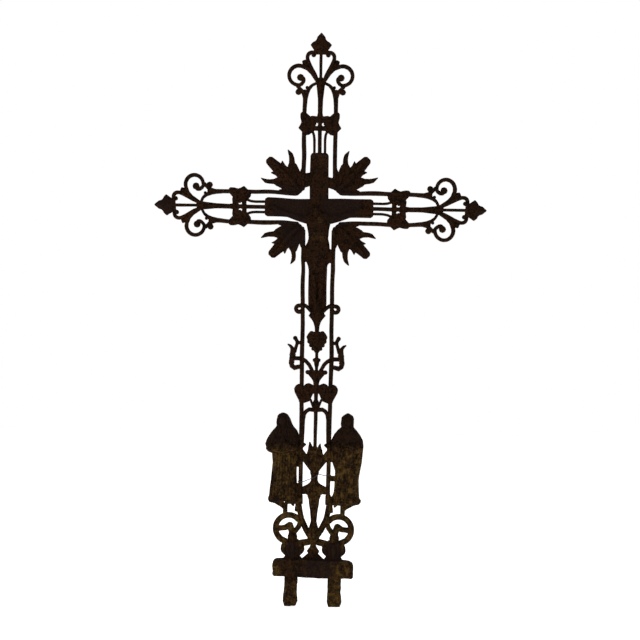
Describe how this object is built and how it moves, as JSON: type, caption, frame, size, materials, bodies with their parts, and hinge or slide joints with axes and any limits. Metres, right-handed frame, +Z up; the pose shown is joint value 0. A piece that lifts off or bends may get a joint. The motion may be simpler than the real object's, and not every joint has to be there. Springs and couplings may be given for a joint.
{
  "type": "cast iron cross",
  "caption": "Openwork cast iron grave cross with scrolled leafy ends, rays, a crucifix, mourning figures and a block foot on tangs.",
  "frame": {"origin": "middle of the foot block's underside, where the cross sits on its stone", "axes": "+Z up the stem, -Y out of the front with the crucifix, +X to the right seen from the front; the back is flat"},
  "size_m": [0.863, 0.0499, 1.49],
  "materials": {
    "rusted_cast_iron": "old black-brown rust, dull, with traces of moss on the figures and foot",
    "tie_wire": "dull grey wire"
  },
  "bodies": {
    "root": {"cross_casting": "rusted_cast_iron", "tie_wire": "tie_wire"}
  },
  "joints": []
}
